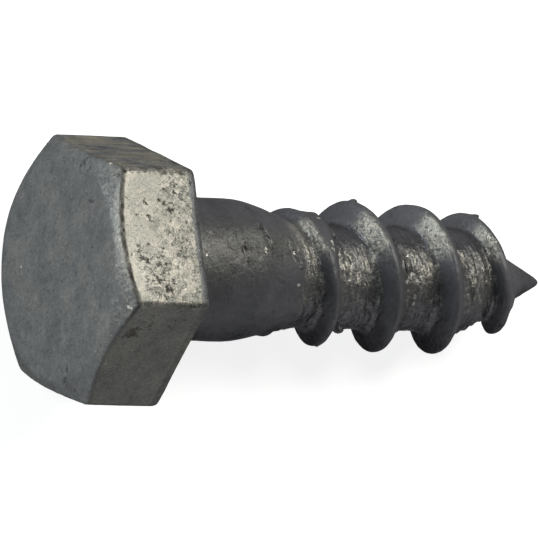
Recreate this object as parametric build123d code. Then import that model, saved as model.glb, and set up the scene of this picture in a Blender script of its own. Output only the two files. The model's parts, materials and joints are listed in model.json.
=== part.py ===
from build123d import *

import math
import os

# A hexagon head lag screw, forged and thread-rolled from one blank.
#
# The screw is built along its own axis, with the bearing face of the head at
# z = 0, the shank along +Z and one flat of the hexagon facing +X. It is then
# laid down as it rests on a level surface: on one flat of the head and on the
# thread, with its axis dipping towards the point. Lengths are in millimetres,
# angles in degrees, and places along the axis count from the bearing face.

# Head
HEAD_SIDES = 6
ACROSS_FLATS = 13.0
HEAD_HEIGHT = 5.0
END_FACE_DIAMETER = 12.05
CHAMFER_ANGLE = 30.0
CHAMFER_CROWN = 0.05
CORNER_RADIUS = 0.4
BEARING_EDGE_RADIUS = 0.35
UNDERHEAD_FILLET = 0.4

# Blank: a plain shank, a taper down to the thread's core, and a conical point
LENGTH = 25.0
SHANK_DIAMETER = 7.6
SHANK_LENGTH = 5.4
SHANK_BLEND_RADIUS = 3.0
TAPER_LENGTH = 3.8
TAPER_BLEND_RADIUS = 3.0
ROOT_DIAMETER = 5.6
POINT_ANGLE = 54.0
TIP_RADIUS = 0.2

# Thread: right-hand, one start, with straight flanks and a narrow crest
CREST_DIAMETER = 8.0
CREST_WIDTH = 0.36
FLANK_ANGLE = 30.0
PITCH = 3.7
PHASE = -73.5
DEPTH_IN_CORE = 0.3
SECTIONS_PER_TURN = 12
# The crest rises out of the taper, and steps down towards the point
THREAD_ON_TAPER = 2.0
CREST_RISE_LENGTH = 5.6
FULL_CREST_TO_TIP = 6.4
LAST_CREST_TO_TIP = 2.9
LAST_CREST_DIAMETER = 5.5
THREAD_TO_TIP = 1.1

shank_radius = SHANK_DIAMETER / 2
root_radius = ROOT_DIAMETER / 2
taper_end = SHANK_LENGTH + TAPER_LENGTH
half_point = math.radians(POINT_ANGLE / 2)
tip_centre = LENGTH - TIP_RADIUS
apex = tip_centre + TIP_RADIUS / math.sin(half_point)
point_start = apex - root_radius / math.tan(half_point)

thread_start = taper_end - THREAD_ON_TAPER
thread_end = LENGTH - THREAD_TO_TIP
full_crest_start = thread_start + CREST_RISE_LENGTH
full_crest_end = LENGTH - FULL_CREST_TO_TIP
last_crest = LENGTH - LAST_CREST_TO_TIP


def radius_between(stations: list[tuple[float, float]], z: float) -> float:
    """Radius at z on the straight lines that join stations of (z, radius)."""
    for (z0, r0), (z1, r1) in zip(stations, stations[1:]):
        if z <= z1:
            return r0 + (r1 - r0) * max(z - z0, 0.0) / (z1 - z0)
    return stations[-1][1]


def core_radius(z: float) -> float:
    """Radius of the blank that the thread stands on."""
    outline = [
        (SHANK_LENGTH, shank_radius),
        (taper_end, root_radius),
        (point_start, root_radius),
        (apex, 0.0),
    ]
    return radius_between(outline, z)


def thread_radius(z: float) -> float:
    """Radius of the crest, which is sunk in the core at both ends."""
    sunk = DEPTH_IN_CORE / 2
    envelope = [
        (thread_start, core_radius(thread_start) - sunk),
        (full_crest_start, CREST_DIAMETER / 2),
        (full_crest_end, CREST_DIAMETER / 2),
        (last_crest, LAST_CREST_DIAMETER / 2),
        (thread_end, core_radius(thread_end) - sunk),
    ]
    return radius_between(envelope, z)


def crest_angle(z: float) -> float:
    """Direction that the crest faces at z, turned from +X about the axis."""
    return PHASE + 360 * (z - full_crest_start) / PITCH


def hexagon_head() -> Part:
    """Forged hexagon with worn-in edges, chamfered on its free end."""
    outline = RegularPolygon(
        ACROSS_FLATS / 2, HEAD_SIDES, major_radius=False, rotation=180 / HEAD_SIDES
    )
    prism = extrude(outline, -HEAD_HEIGHT)
    prism = fillet(prism.edges().filter_by(Axis.Z), CORNER_RADIUS)
    prism = fillet(prism.edges().group_by(Axis.Z)[-1], BEARING_EDGE_RADIUS)

    # The chamfer is the die's: a slightly domed cone round a flat end face.
    end_edge = (END_FACE_DIAMETER / 2, -HEAD_HEIGHT)
    past_corners = ACROSS_FLATS / 2 / math.cos(math.pi / HEAD_SIDES) + CORNER_RADIUS
    rise = (past_corners - END_FACE_DIAMETER / 2) * math.tan(math.radians(CHAMFER_ANGLE))
    rim = (past_corners, rise - HEAD_HEIGHT)
    die = Curve() + [
        SagittaArc(end_edge, rim, -CHAMFER_CROWN),
        Polyline(rim, (past_corners, rise), (0, rise), (0, -HEAD_HEIGHT), end_edge),
    ]
    return prism & revolve(Plane.XZ * make_face(die), Axis.Z)


def turned_blank() -> Part:
    """Shank, taper, core and point, as one solid of revolution."""
    fillet_edge = (shank_radius + UNDERHEAD_FILLET, 0)
    fillet_top = (shank_radius, UNDERHEAD_FILLET)
    tip_edge = (
        TIP_RADIUS * math.cos(half_point),
        tip_centre + TIP_RADIUS * math.sin(half_point),
    )
    outline = Curve() + [
        Line((0, 0), fillet_edge),
        Bezier(fillet_edge, (shank_radius, 0), fillet_top),
        FilletPolyline(
            fillet_top,
            (shank_radius, SHANK_LENGTH),
            (root_radius, taper_end),
            (root_radius, point_start),
            radius=[SHANK_BLEND_RADIUS, TAPER_BLEND_RADIUS],
        ),
        Line((root_radius, point_start), tip_edge),
        RadiusArc(tip_edge, (0, LENGTH), -TIP_RADIUS),
        Line((0, LENGTH), (0, 0)),
    ]
    return revolve(Plane.XZ * make_face(outline), Axis.Z)


def thread_section(z: float) -> Face:
    """The ridge cut in the radial plane where its crest is at z."""
    inner = core_radius(z) - DEPTH_IN_CORE
    outer = thread_radius(z)
    half_crest = CREST_WIDTH / 2
    half_base = half_crest + (outer - inner) * math.tan(math.radians(FLANK_ANGLE))
    outline = Polyline(
        (inner, -half_base),
        (outer, -half_crest),
        (outer, half_crest),
        (inner, half_base),
        close=True,
    )
    return Pos(0, 0, z) * Rot(0, 0, crest_angle(z)) * (Plane.XZ * make_face(outline))


def lag_thread() -> list[Part]:
    """Helical ridge from the taper to the point, lofted a turn at a time."""
    turns = math.ceil((thread_end - thread_start) / PITCH)
    count = turns * SECTIONS_PER_TURN
    step = (thread_end - thread_start) / count
    sections = [thread_section(thread_start + i * step) for i in range(count + 1)]
    starts = range(0, count, SECTIONS_PER_TURN)
    return [loft(sections[i : i + SECTIONS_PER_TURN + 1]) for i in starts]


def resting_dip() -> float:
    """Angle by which the axis dips when head and thread both touch a floor.

    The head touches on the rounded edge of a flat, behind the bearing face.
    The thread touches at the crest on its underside that is met first.
    """
    # How far into its first turn the crest first faces the floor.
    wait = ((180 - crest_angle(thread_start)) % 360) / 360 * PITCH
    turns_left = math.floor((thread_end - thread_start - wait) / PITCH)
    dips = []
    for turn in range(turns_left + 1):
        z = thread_start + wait + turn * PITCH
        along = z + BEARING_EDGE_RADIUS
        across = ACROSS_FLATS / 2 - BEARING_EDGE_RADIUS - thread_radius(z)
        roll = math.asin(BEARING_EDGE_RADIUS / math.hypot(along, across))
        dips.append(math.atan2(across, along) + roll)
    return min(dips)


def lag_screw() -> Part:
    """The whole screw, lying at rest with its point along +X."""
    screw = hexagon_head() + turned_blank() + lag_thread()
    dip = resting_dip()
    at_rest = Plane(
        origin=(0, 0, 0),
        x_dir=(math.sin(dip), 0, math.cos(dip)),
        z_dir=(math.cos(dip), 0, -math.sin(dip)),
    )
    return at_rest * screw


os.makedirs("parts", exist_ok=True)
export_step(lag_screw(), "parts/lag_screw.step")
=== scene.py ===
"""A hot-dip galvanised hexagon head lag screw, lying at rest on a pale floor.

The screw is modelled in millimetres about its own axis, with the bearing face
of the head at z = 0 and the point along +Z, and is laid down in the row's
frame, in metres, once it is finished.
"""

import json
import logging
import math
from dataclasses import dataclass, field
from enum import Enum
from functools import cached_property, reduce
from typing import Any, Callable, Iterable, Union

import bmesh
import bpy
from mathutils import Matrix, Vector, noise


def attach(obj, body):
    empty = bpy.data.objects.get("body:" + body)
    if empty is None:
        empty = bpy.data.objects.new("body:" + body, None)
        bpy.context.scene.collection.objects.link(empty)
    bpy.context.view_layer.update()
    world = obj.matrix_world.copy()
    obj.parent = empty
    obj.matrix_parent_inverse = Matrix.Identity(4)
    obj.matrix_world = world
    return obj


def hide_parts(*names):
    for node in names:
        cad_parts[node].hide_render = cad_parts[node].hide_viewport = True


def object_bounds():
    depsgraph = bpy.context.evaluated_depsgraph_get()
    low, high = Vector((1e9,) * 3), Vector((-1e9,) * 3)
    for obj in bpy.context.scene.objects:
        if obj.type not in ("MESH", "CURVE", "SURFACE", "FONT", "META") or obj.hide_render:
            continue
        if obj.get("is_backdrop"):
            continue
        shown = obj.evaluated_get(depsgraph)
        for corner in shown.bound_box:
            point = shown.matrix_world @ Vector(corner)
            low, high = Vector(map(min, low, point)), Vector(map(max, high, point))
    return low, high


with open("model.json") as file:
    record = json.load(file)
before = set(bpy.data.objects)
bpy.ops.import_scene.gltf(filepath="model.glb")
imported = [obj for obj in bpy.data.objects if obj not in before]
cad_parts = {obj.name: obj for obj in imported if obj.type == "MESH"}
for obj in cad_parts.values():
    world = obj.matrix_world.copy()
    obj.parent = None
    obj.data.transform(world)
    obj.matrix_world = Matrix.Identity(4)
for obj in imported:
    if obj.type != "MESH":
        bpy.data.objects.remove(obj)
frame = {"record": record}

logging.basicConfig(level=logging.INFO, format="%(message)s")
log = logging.getLogger("lag_screw")

MM = 0.001


# ---- Modelling helpers ----


def deselect_all() -> None:
    """Leave edit mode and clear the selection."""
    if bpy.context.object is not None and bpy.context.object.mode != "OBJECT":
        bpy.ops.object.mode_set(mode="OBJECT")
    bpy.ops.object.select_all(action="DESELECT")


def activate(piece: bpy.types.Object) -> None:
    """Make piece the only selected and the active object.

    Args:
        piece: The object to select.
    """
    deselect_all()
    piece.select_set(True)
    bpy.context.view_layer.objects.active = piece


def named(name: str) -> bpy.types.Object:
    """Name the active object, put its place in its mesh and return it.

    Args:
        name: The name of the object and of its mesh.

    Returns:
        The active object.
    """
    piece = bpy.context.active_object
    piece.name = piece.data.name = name
    bpy.ops.object.transform_apply(location=True, rotation=True, scale=True)
    return piece


def apply_modifier(piece: bpy.types.Object, kind: str, **settings: Any) -> None:
    """Add one modifier to piece, set it and apply it.

    Args:
        piece: The object that is shaped.
        kind: Blender's type of modifier, such as "REMESH".
        settings: The modifier's own settings.
    """
    activate(piece)
    modifier = piece.modifiers.new(kind.title(), kind)
    for name, value in settings.items():
        setattr(modifier, name, value)
    bpy.ops.object.modifier_apply(modifier=modifier.name)


def join(pieces: list[bpy.types.Object], name: str) -> bpy.types.Object:
    """Join pieces into the first of them.

    Args:
        pieces: The objects to join.
        name: The name of the joined object.

    Returns:
        The joined object.
    """
    deselect_all()
    for piece in pieces:
        piece.select_set(True)
    bpy.context.view_layer.objects.active = pieces[0]
    bpy.ops.object.join()
    return named(name)


def select_in_edit_mode(
    piece: bpy.types.Object, kind: str, chosen: Callable[[Any], bool]
) -> None:
    """Open piece in edit mode with only the chosen elements selected.

    Args:
        piece: The object to edit.
        kind: "VERT", "EDGE" or "FACE".
        chosen: Says of one bmesh element whether it is selected.
    """
    activate(piece)
    bpy.ops.object.mode_set(mode="EDIT")
    bpy.ops.mesh.select_mode(type=kind)
    bpy.ops.mesh.select_all(action="DESELECT")
    mesh = bmesh.from_edit_mesh(piece.data)
    for element in {"VERT": mesh.verts, "EDGE": mesh.edges, "FACE": mesh.faces}[kind]:
        if chosen(element):
            element.select_set(True)
    mesh.select_flush_mode()
    bmesh.update_edit_mesh(piece.data)


def faces_up(face: bmesh.types.BMFace) -> bool:
    """Whether a face looks along +Z."""
    return face.normal.z > 0.9


def between(value: float, low: float, high: float) -> float:
    """Smooth step of value from 0 at low to 1 at high."""
    share = min(1.0, max(0.0, (value - low) / (high - low)))
    return share * share * (3 - 2 * share)


def radius_on(stations: list[tuple[float, float]], z: float) -> float:
    """Radius at z on the straight lines that join stations of (z, radius).

    Args:
        stations: Pairs of (z, radius), in order of z.
        z: Where the radius is wanted.

    Returns:
        The radius, which past either end is that of the end.
    """
    for (z0, r0), (z1, r1) in zip(stations, stations[1:]):
        if z <= z1:
            return r0 + (r1 - r0) * max(z - z0, 0.0) / (z1 - z0)
    return stations[-1][1]


# ---- Shader helpers ----

Value = Union["Signal", float, tuple[float, ...]]
Triple = tuple[float, float, float]


def arithmetic(operation: str, swapped: bool = False) -> Callable[["Signal", Value], "Signal"]:
    """Make an operator for signals.

    Args:
        operation: The Math node's operation.
        swapped: Whether the signal stands to the right of the operator.

    Returns:
        A method that adds the Math node.
    """

    def apply(self: "Signal", other: Value) -> "Signal":
        """Join the signal and the other value by one Math node."""
        first, second = (other, self) if swapped else (self, other)
        return self.graph.math(operation, first, second)

    return apply


class Signal:
    """A shader socket that adds Math nodes when it is used in an expression."""

    def __init__(self, graph: "Graph", socket: bpy.types.NodeSocket | None) -> None:
        """Wrap one output socket of a graph."""
        self.graph = graph
        self.socket = socket

    __add__ = arithmetic("ADD")
    __radd__ = arithmetic("ADD", swapped=True)
    __sub__ = arithmetic("SUBTRACT")
    __rsub__ = arithmetic("SUBTRACT", swapped=True)
    __mul__ = arithmetic("MULTIPLY")
    __rmul__ = arithmetic("MULTIPLY", swapped=True)
    __truediv__ = arithmetic("DIVIDE")
    __rtruediv__ = arithmetic("DIVIDE", swapped=True)


class Graph:
    """The node tree of one material or world."""

    def __init__(self, owner: Union[bpy.types.Material, bpy.types.World]) -> None:
        """Start an empty node tree on owner.

        Args:
            owner: The material or world that the nodes belong to.
        """
        owner.use_nodes = True
        self.tree = owner.node_tree
        self.tree.nodes.clear()

    def node(
        self,
        kind: str,
        settings: dict[str, Any] | None = None,
        inputs: dict[Union[str, int], Any] | None = None,
        output: Union[str, int] = 0,
    ) -> Signal:
        """Add one node.

        Args:
            kind: The node's type, without "ShaderNode".
            settings: The node's own settings, set first.
            inputs: Values or signals for its sockets, by name or number.
            output: The output socket that is wanted, by name or number.

        Returns:
            That output.
        """
        node = self.tree.nodes.new("ShaderNode" + kind)
        for name, value in (settings or {}).items():
            setattr(node, name, value)
        for name, value in (inputs or {}).items():
            if isinstance(value, Signal):
                self.tree.links.new(value.socket, node.inputs[name])
            else:
                node.inputs[name].default_value = value
        if not node.outputs:
            return Signal(self, None)
        return Signal(self, node.outputs[output])

    def math(self, operation: str, first: Value, second: Value = 0.0) -> Signal:
        """Math node of one operation on two values."""
        return self.node("Math", {"operation": operation}, {0: first, 1: second})

    def clamp(self, value: Signal) -> Signal:
        """Value held between 0 and 1."""
        return self.node("Clamp", inputs={"Value": value})

    def step(self, value: Signal, low: float, high: float) -> Signal:
        """Smooth step from 0 at low to 1 at high; low may be above high.

        Args:
            value: The signal to step.
            low: Where the step starts.
            high: Where the step ends.

        Returns:
            The step, from 0 to 1.
        """
        rising = low < high
        ends = (low, high) if rising else (high, low)
        out = (0.0, 1.0) if rising else (1.0, 0.0)
        return self.node(
            "MapRange",
            {"interpolation_type": "SMOOTHSTEP"},
            {0: value, 1: ends[0], 2: ends[1], 3: out[0], 4: out[1]},
        )

    def window(
        self, value: Signal, start: float, full: float, fading: float, end: float
    ) -> Signal:
        """1 from full to fading, with smooth steps down to 0 at start and at end."""
        return self.step(value, start, full) * self.step(value, end, fading)

    def colour(self, factor: Value, first: Value, second: Value) -> Signal:
        """Colour mixed from first, at factor 0, to second, at factor 1.

        Args:
            factor: How much of the second colour there is.
            first: The colour at factor 0.
            second: The colour at factor 1.

        Returns:
            The mixed colour.
        """
        return self.node(
            "Mix", {"data_type": "RGBA"}, {0: factor, 6: first, 7: second}, 2
        )

    def vector(self, operation: str, first: Value, second: Value) -> Signal:
        """Vector Math node of one operation on two vectors."""
        return self.node("VectorMath", {"operation": operation}, {0: first, 1: second})

    def total(self, signals: Iterable[Signal]) -> Signal:
        """Sum of several signals."""
        return reduce(Signal.__add__, signals)

    def scaled(self, vector: Signal, factor: Value) -> Signal:
        """Vector or colour times a number.

        Args:
            vector: A vector or a colour.
            factor: The number that it is multiplied by.

        Returns:
            The product.
        """
        return self.node(
            "VectorMath", {"operation": "SCALE"}, {"Vector": vector, "Scale": factor}
        )

    def noise(
        self, place: Signal, scale: float, detail: float = 2.0, rough: float = 0.5
    ) -> Signal:
        """Noise, about 0.5 on average, with features 1/scale long.

        Args:
            place: The coordinates.
            scale: How many features go to one of their units.
            detail: How many finer layers are added.
            rough: How strong each layer is beside the one before it.

        Returns:
            The noise, from 0 to 1.
        """
        return self.node(
            "TexNoise",
            inputs={"Vector": place, "Scale": scale, "Detail": detail, "Roughness": rough},
        )


def grey(level: float) -> tuple[float, float, float, float]:
    """Grey of a level."""
    return (level, level, level, 1.0)


def rgba(tone: Triple) -> tuple[float, float, float, float]:
    """Colour with its alpha."""
    return (*tone, 1.0)


# ---- Place of the screw ----


@dataclass(frozen=True)
class Lie:
    """How the screw lies in the row's frame.

    The bearing face of the head is at the frame's origin, and one flat of the
    head faces up, in the vertical plane of the axis.
    """

    axis: Vector

    @classmethod
    def from_record(cls, record: dict[str, Any]) -> "Lie":
        """Read the axis from the record's bearing face."""
        mounts = {mount["name"]: mount for mount in record["mounts"]}
        return cls(Vector(mounts["bearing_face"]["axis"]).normalized())

    @property
    def up(self) -> Vector:
        """Direction that the uppermost flat faces."""
        return Vector((-self.axis.z, 0.0, self.axis.x))

    @property
    def dip(self) -> float:
        """Angle by which the axis points below the horizon, in radians."""
        return math.asin(-self.axis.z)

    def matrix(self) -> Matrix:
        """From the screw's own frame, in mm, to the row's frame, in metres.

        Returns:
            The matrix.
        """
        side = self.axis.cross(self.up)
        columns = Matrix((self.up, side, self.axis)).transposed()
        return columns.to_4x4() @ Matrix.Scale(MM, 4)

    def point(self, along: float, up: float, across: float) -> Vector:
        """Point in the row's frame, from mm along the axis, up and in +Y."""
        return (self.axis * along + self.up * up + Vector((0, across, 0))) * MM


# ---- Forms of the screw ----


def facing(turn: float) -> Vector:
    """Unit vector across the axis, at turn degrees from the row's +Y towards up."""
    angle = math.radians(turn)
    return Vector((math.sin(angle), -math.cos(angle), 0.0))


@dataclass
class HexHead:
    """Forged hexagon, domed off by the die's chamfer on its free end.

    The dies met a little out of true, so that the bearing face overhangs most
    towards lean_turn.
    """

    across_flats: float = 13.0
    height: float = 5.0
    end_face_diameter: float = 12.05
    chamfer_angle: float = 28.5
    corner_radius: float = 0.4
    bearing_edge: float = 0.38
    overhang: float = 0.26
    lean: float = 0.4
    lean_turn: float = 35.0
    die_stray: float = 0.05
    die_stray_turn: float = 20.0
    die_spare: float = 0.5
    die_sides: int = 180
    corner_segments: int = 5
    edge_segments: int = 4

    def build(self) -> bpy.types.Object:
        """Model the head below z = 0, with one flat facing +X.

        Returns:
            The head, chamfered and with its edges rounded.
        """
        corner = self.across_flats / 2 / math.cos(math.pi / 6)
        deselect_all()
        bpy.ops.mesh.primitive_cylinder_add(
            vertices=6, radius=corner, depth=self.height, location=(0, 0, -self.height / 2)
        )
        head = named("head")
        select_in_edit_mode(
            head, "EDGE", lambda e: abs(e.verts[0].co.z - e.verts[1].co.z) > self.height / 2
        )
        # The surface turns by 60 degrees at each corner.
        bpy.ops.mesh.bevel(
            offset=self.corner_radius * math.tan(math.radians(30)), segments=self.corner_segments
        )
        bpy.ops.object.mode_set(mode="OBJECT")
        select_in_edit_mode(head, "FACE", faces_up)
        bpy.ops.transform.translate(value=(0, 0, self.overhang))
        bpy.ops.mesh.bevel(offset=self.bearing_edge, segments=self.edge_segments)
        bpy.ops.object.mode_set(mode="OBJECT")
        for vertex in head.data.vertices:
            share = between(vertex.co.z, -self.height, 0)
            tilt = math.tan(math.radians(self.lean)) * vertex.co.dot(facing(self.lean_turn))
            vertex.co.z += share * tilt
        die = self._die(corner + self.die_spare)
        apply_modifier(head, "BOOLEAN", operation="INTERSECT", object=die, solver="EXACT")
        bpy.data.objects.remove(die)
        return head

    def _die(self, reach: float) -> bpy.types.Object:
        """The cone that chamfers the corners, drawn out over the whole head.

        Args:
            reach: Radius of the cone at its wide end, which clears the head's corners.

        Returns:
            The cone, whose narrow end is the head's end face.
        """
        end = self.end_face_diameter / 2
        rise = (reach - end) * math.tan(math.radians(self.chamfer_angle))
        deselect_all()
        bpy.ops.mesh.primitive_cone_add(
            vertices=self.die_sides,
            radius1=end,
            radius2=reach,
            depth=rise,
            location=facing(self.die_stray_turn) * self.die_stray
            + Vector((0, 0, rise / 2 - self.height)),
        )
        die = named("die")
        select_in_edit_mode(die, "FACE", faces_up)
        bpy.ops.mesh.extrude_region_move(
            TRANSFORM_OT_translate={"value": (0, 0, self.height + 2 * self.die_spare)}
        )
        bpy.ops.object.mode_set(mode="OBJECT")
        return die


@dataclass
class Blank:
    """Plain shank, taper, thread core and point, drawn out ring by ring.

    The shank stands a little off the thread's axis, towards offset_turn. neck
    gives z and how much the shank is thicker there, from inside the head on.
    """

    length: float = 25.0
    shank_diameter: float = 7.68
    shank_length: float = 5.55
    taper_length: float = 3.95
    root_diameter: float = 5.6
    point_angle: float = 54.0
    tip_radius: float = 0.2
    offset: float = 0.2
    offset_turn: float = 16.5
    offset_run_out: float = 1.0
    neck: tuple[tuple[float, float], ...] = ((-0.8, 0.1), (0.0, 0.12), (0.35, 0.0))
    first_ring: float = 0.6
    last_ring_to_tip: float = 0.3
    rings: int = 60
    rounding: float = 0.5
    end_to_tip: float = 0.05
    end_share: float = 0.6
    sides: int = 160

    @property
    def taper_end(self) -> float:
        """Where the taper meets the thread's core."""
        return self.shank_length + self.taper_length

    @property
    def apex(self) -> float:
        """Where the point would end if it weren't rounded."""
        half = math.radians(self.point_angle / 2)
        return self.length - self.tip_radius + self.tip_radius / math.sin(half)

    @cached_property
    def stations(self) -> list[tuple[float, float]]:
        """Radius of the blank along its axis, with its corners rounded.

        Returns:
            Pairs of (z, radius), from inside the head to the tip.
        """
        half, apex = math.radians(self.point_angle / 2), self.apex
        shank, root = self.shank_diameter / 2, self.root_diameter / 2
        point = apex - root / math.tan(half)
        corners = [(self.shank_length, shank), (self.taper_end, root), (point, root), (apex, 0.0)]
        stations = [(z, shank + thicker) for z, thicker in self.neck]
        run = self.length - self.first_ring - self.last_ring_to_tip
        for i in range(self.rings):
            z = self.first_ring + i * run / (self.rings - 1)
            near = [radius_on(corners, z + self.rounding * k / 3) for k in range(-3, 4)]
            stations.append((z, sum(near) / len(near)))
        stations.append((self.length - self.end_to_tip, self.tip_radius * self.end_share))
        return stations

    def core_radius(self, z: float) -> float:
        """Radius of the core under the thread."""
        return radius_on(self.stations, z)

    def stray(self, z: float) -> Vector:
        """How far the blank's centre is off the axis at z."""
        share = 1 - between(z, self.shank_length, self.taper_end + self.offset_run_out)
        return facing(self.offset_turn) * self.offset * share

    def build(self) -> bpy.types.Object:
        """Model the blank from one circle, extruded and scaled up the axis.

        Returns:
            The blank, from inside the head to the tip.
        """
        rings = self.stations
        deselect_all()
        bpy.ops.mesh.primitive_circle_add(
            vertices=self.sides,
            radius=rings[0][1],
            fill_type="NGON",
            location=self.stray(rings[0][0]) + Vector((0, 0, rings[0][0])),
        )
        blank = named("blank")
        bpy.ops.object.mode_set(mode="EDIT")
        bpy.ops.mesh.select_all(action="SELECT")
        bpy.ops.mesh.flip_normals()
        for (z0, r0), (z1, r1) in zip(rings, rings[1:]):
            step = self.stray(z1) - self.stray(z0) + Vector((0, 0, z1 - z0))
            bpy.ops.mesh.extrude_region_move(TRANSFORM_OT_translate={"value": step})
            bpy.ops.transform.resize(
                value=(r1 / r0, r1 / r0, 1), center_override=self.stray(z1) + Vector((0, 0, z1))
            )
        bpy.ops.mesh.select_all(action="SELECT")
        bpy.ops.mesh.normals_make_consistent(inside=False)
        bpy.ops.object.mode_set(mode="OBJECT")
        return blank


@dataclass(frozen=True)
class Swell:
    """A stretch of crest that the rolling left higher than its neighbours."""

    at: float
    rise: float
    spread: float


@dataclass
class LagThread:
    """Right-hand rolled ridge that rises out of the taper and dies at the point.

    The dies left the first turn unfilled: its crest is broad and hollow, with
    a second lip, as far behind the first as unfilled says for each place of
    the crest. One turn also strays along the axis.
    """

    blank: Blank
    crest_diameter: float = 8.05
    crest_width: float = 0.32
    near_flank: float = 25.0
    far_flank: float = 36.0
    pitch: float = 3.7
    crest_turn: float = 16.5
    depth_in_core: float = 0.5
    ends_buried: float = 0.15
    crown: float = 0.05
    thread_on_taper: float = 2.3
    rise_length: float = 5.6
    full_to_tip: float = 6.4
    last_to_tip: float = 2.9
    last_diameter: float = 5.7
    end_to_tip: float = 1.1
    steps_per_turn: int = 120
    bar_from_axis: float = 10.0
    bar_half: float = 1.0
    bar_cuts: int = 7
    swells: tuple[Swell, ...] = (
        Swell(8.9, 0.16, 0.35),
        Swell(12.75, 0.1, 0.22),
        Swell(13.5, 0.05, 0.2),
        Swell(20.1, 0.17, 0.45),
    )
    unfilled: tuple[tuple[float, float], ...] = (
        (7.7, 0.0),
        (8.5, 1.2),
        (9.1, 1.4),
        (9.28, 0.9),
        (9.58, 0.45),
        (9.95, 0.0),
    )
    second_lip_drop: float = 0.1
    hollow: float = 0.24
    stray_at: float = 16.7
    stray: float = 0.2
    stray_reach: float = 0.8

    @property
    def start(self) -> float:
        """Where the ridge leaves the taper."""
        return self.blank.taper_end - self.thread_on_taper

    @property
    def end(self) -> float:
        """Where the ridge dies on the point."""
        return self.blank.length - self.end_to_tip

    @property
    def full_start(self) -> float:
        """Where the crest reaches its full height."""
        return self.start + self.rise_length

    def crest_radius(self, z: float) -> float:
        """Distance of the crest from the axis when the crest is at z.

        Args:
            z: Where the crest is.

        Returns:
            The radius, swells and all.
        """
        length = self.blank.length
        rolled = radius_on(
            [
                (self.start, self.blank.core_radius(self.start) - self.ends_buried),
                (self.full_start, self.crest_diameter / 2),
                (length - self.full_to_tip, self.crest_diameter / 2),
                (length - self.last_to_tip, self.last_diameter / 2),
                (self.end, self.blank.core_radius(self.end) - self.ends_buried),
            ],
            z,
        )
        return rolled + sum(
            swell.rise * math.exp(-(((z - swell.at) / swell.spread) ** 2))
            for swell in self.swells
        )

    def turn_at(self, z: float) -> float:
        """Direction that the crest faces at z, in degrees."""
        return self.crest_turn + 360 * (z - self.full_start) / self.pitch

    def strayed(self, z: float) -> float:
        """How far the crest at z lies beyond its place on a true helix."""
        return self.stray * math.exp(-(((z - self.stray_at) / self.stray_reach) ** 2))

    def build(self) -> bpy.types.Object:
        """Sweep a square bar up the helix, then form it to the ridge.

        Returns:
            The ridge, closed at both ends.
        """
        turns = (self.end - self.start) / self.pitch
        deselect_all()
        bpy.ops.mesh.primitive_plane_add(
            size=2 * self.bar_half,
            location=(self.bar_from_axis, 0, self.start),
            rotation=(math.pi / 2, 0, 0),
        )
        ridge = named("ridge")
        bpy.ops.object.mode_set(mode="EDIT")
        bpy.ops.mesh.select_all(action="SELECT")
        bpy.ops.mesh.delete(type="ONLY_FACE")
        bpy.ops.mesh.select_all(action="SELECT")
        bpy.ops.mesh.subdivide(number_cuts=self.bar_cuts)
        bpy.ops.object.mode_set(mode="OBJECT")
        apply_modifier(
            ridge,
            "SCREW",
            angle=2 * math.pi * turns,
            screw_offset=self.end - self.start,
            steps=round(self.steps_per_turn * turns),
            render_steps=round(self.steps_per_turn * turns),
            use_merge_vertices=False,
        )
        self._form(ridge)
        select_in_edit_mode(ridge, "EDGE", lambda e: e.is_boundary)
        bpy.ops.mesh.fill_holes(sides=0)
        bpy.ops.mesh.select_all(action="SELECT")
        bpy.ops.mesh.normals_make_consistent(inside=False)
        bpy.ops.object.mode_set(mode="OBJECT")
        return ridge

    def _form(self, ridge: bpy.types.Object) -> None:
        """Draw each section of the swept bar in or out to the thread's form.

        Args:
            ridge: The bar as it was swept.
        """
        near = math.tan(math.radians(self.near_flank))
        far = math.tan(math.radians(self.far_flank))
        bar_inside = self.bar_from_axis - self.bar_half
        for vertex in ridge.data.vertices:
            x, y, z = vertex.co
            # share is 0 at the bar's inner side and 1 at its outer side.
            share = (math.hypot(x, y) - bar_inside) / (2 * self.bar_half)
            turned = math.atan2(y, x) / (2 * math.pi)
            whole = round((z - self.start) / self.pitch - turned)
            crest = self.start + (whole + turned) * self.pitch
            # side is -1 at the bar's face towards the head and 1 at the other.
            side = max(-1.0, min(1.0, (z - crest) / self.bar_half))
            crest = min(max(crest, self.start), self.end)
            inner = self.blank.core_radius(crest) - self.depth_in_core
            outer = self.crest_radius(crest)
            # The crest is rounded: its middle stands a little proud.
            formed = inner + (outer - inner) * share - self.crown * share**4 * side**2
            slope = near if side < 0 else far
            half = self.crest_width / 2 + (outer - formed) * slope
            if side > 0:
                broad = radius_on(list(self.unfilled), crest)
                half += broad
                sag = self.second_lip_drop * side + self.hollow * side * (1 - side)
                formed -= broad * share**4 * sag
            along = crest + side * half + self.strayed(crest)
            vertex.co = facing(self.turn_at(crest)) * formed + Vector((0, 0, along))


class Shape(Enum):
    """What a blemish does to the surface."""

    LUMP = "stands on it"
    PIT = "is sunk in it"


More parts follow.
